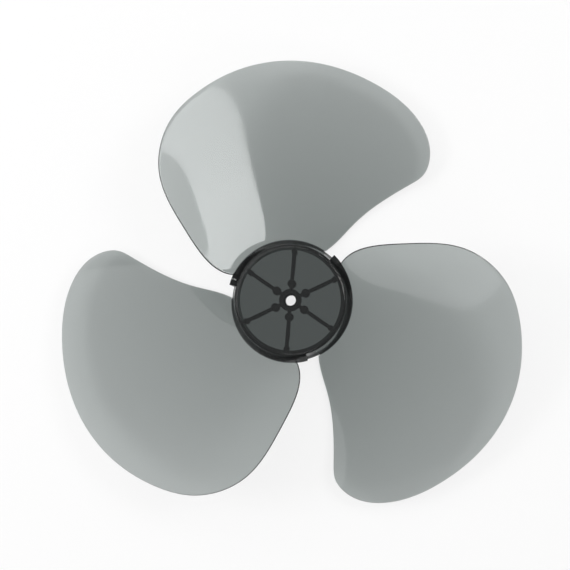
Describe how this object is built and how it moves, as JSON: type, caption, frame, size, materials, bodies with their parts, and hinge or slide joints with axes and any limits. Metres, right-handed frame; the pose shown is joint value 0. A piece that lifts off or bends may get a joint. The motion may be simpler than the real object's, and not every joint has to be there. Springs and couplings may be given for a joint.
{
  "type": "axial fan impeller",
  "caption": "Axial fan impeller moulded in one piece: a cup-shaped hub with a ribbed shaft boss and wide, swept, cambered blades.",
  "frame": {"origin": "on the shaft axis, where the bore meets the bottom of the drive pin's slot", "axes": "+Z along the shaft axis towards the closed front face of the hub; +X and +Y across it"},
  "size_m": [0.3419, 0.3308, 0.0549],
  "materials": {
    "smoke_plastic": "gloss"
  },
  "bodies": {
    "root": {"impeller": "smoke_plastic"}
  },
  "joints": []
}
